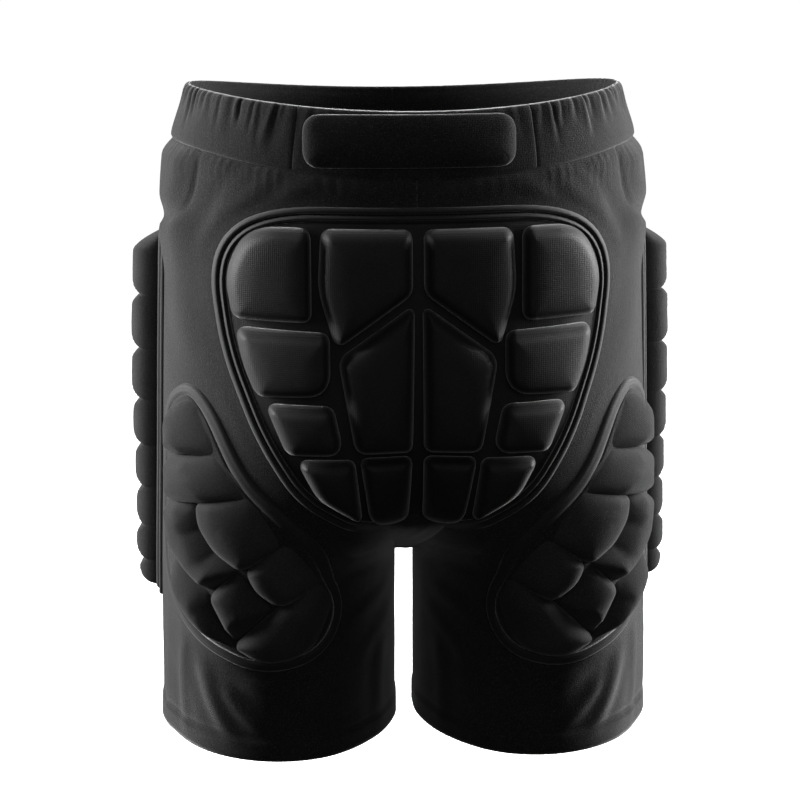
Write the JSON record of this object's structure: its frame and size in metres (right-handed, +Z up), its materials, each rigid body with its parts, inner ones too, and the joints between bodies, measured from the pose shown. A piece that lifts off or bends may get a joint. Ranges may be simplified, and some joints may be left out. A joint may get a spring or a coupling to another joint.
{
  "type": "padded impact shorts",
  "caption": "Knit protective shorts with foam impact pads over the seat, tailbone, thighs, hips and sides, a gathered elastic waistband and two open legs that swing forward.",
  "frame": {"origin": "middle of the waist opening, level with the top of the rim at the wearer's sides", "axes": "+Z up, the wearer's back and the seat pad face -Y, the wearer's left is -X"},
  "size_m": [0.3594, 0.2519, 0.431],
  "materials": {
    "knit": "brushed matte knit",
    "pad_cover": "smooth stretch knit over foam, with fine ribs",
    "binding": "corded binding with overlock stitches",
    "elastic": "ribbed elastic tape"
  },
  "bodies": {
    "trunk": {"waistband_rear_panel": "knit", "waist_elastic": "elastic", "lumbar_pad": "pad_cover", "crotch_gusset": "knit", "seat_pad_backing": "pad_cover", "seat_pad_binding": "binding", "waistband_gather_left": "knit", "rear_panel_left": "knit", "front_panel_left": "knit", "hip_flex_panel_left": "knit", "iliac_pad_left": "pad_cover", "side_pad_backing_left": "pad_cover", "side_pad_upper_left": "pad_cover", "side_pad_middle_left": "pad_cover", "seat_block_hip_upper_left": "pad_cover", "seat_block_spine_upper_left": "pad_cover", "seat_block_hip_middle_left": "pad_cover", "seat_block_hip_lower_left": "pad_cover", "seat_block_hip_point_left": "pad_cover", "seat_block_spine_middle_left": "pad_cover", "seat_block_spine_lower_left": "pad_cover", "waistband_gather_right": "knit", "rear_panel_right": "knit", "front_panel_right": "knit", "hip_flex_panel_right": "knit", "iliac_pad_right": "pad_cover", "side_pad_backing_right": "pad_cover", "side_pad_upper_right": "pad_cover", "side_pad_middle_right": "pad_cover", "seat_block_hip_upper_right": "pad_cover", "seat_block_spine_upper_right": "pad_cover", "seat_block_hip_middle_right": "pad_cover", "seat_block_hip_lower_right": "pad_cover", "seat_block_hip_point_right": "pad_cover", "seat_block_spine_middle_right": "pad_cover", "seat_block_spine_lower_right": "pad_cover"},
    "left_leg": {"leg_shell_left": "knit", "side_pad_lower_left": "pad_cover", "thigh_pad_backing_left": "pad_cover", "thigh_pad_binding_left": "binding", "thigh_block_top_left": "pad_cover", "thigh_block_shoulder_left": "pad_cover", "thigh_block_outer_left": "pad_cover", "thigh_block_middle_left": "pad_cover", "thigh_block_inner_left": "pad_cover", "thigh_block_lower_left": "pad_cover", "thigh_block_crescent_left": "pad_cover", "thigh_block_bottom_left": "pad_cover"},
    "right_leg": {"leg_shell_right": "knit", "side_pad_lower_right": "pad_cover", "thigh_pad_backing_right": "pad_cover", "thigh_pad_binding_right": "binding", "thigh_block_top_right": "pad_cover", "thigh_block_shoulder_right": "pad_cover", "thigh_block_outer_right": "pad_cover", "thigh_block_middle_right": "pad_cover", "thigh_block_inner_right": "pad_cover", "thigh_block_lower_right": "pad_cover", "thigh_block_crescent_right": "pad_cover", "thigh_block_bottom_right": "pad_cover"}
  },
  "joints": [
    {"name": "left_leg_swing", "type": "hinge", "parent": "trunk", "child": "left_leg", "pos_m": [-0.085, -0.04, -0.2], "axis": [1, 0, 0], "range_deg": [0, 30], "deforming": ["hip_flex_panel_left", "side_pad_middle_left", "side_pad_backing_left", "crotch_gusset"]},
    {"name": "right_leg_swing", "type": "hinge", "parent": "trunk", "child": "right_leg", "pos_m": [0.085, -0.04, -0.2], "axis": [1, 0, 0], "range_deg": [0, 30], "deforming": ["hip_flex_panel_right", "side_pad_middle_right", "side_pad_backing_right", "crotch_gusset"]}
  ]
}
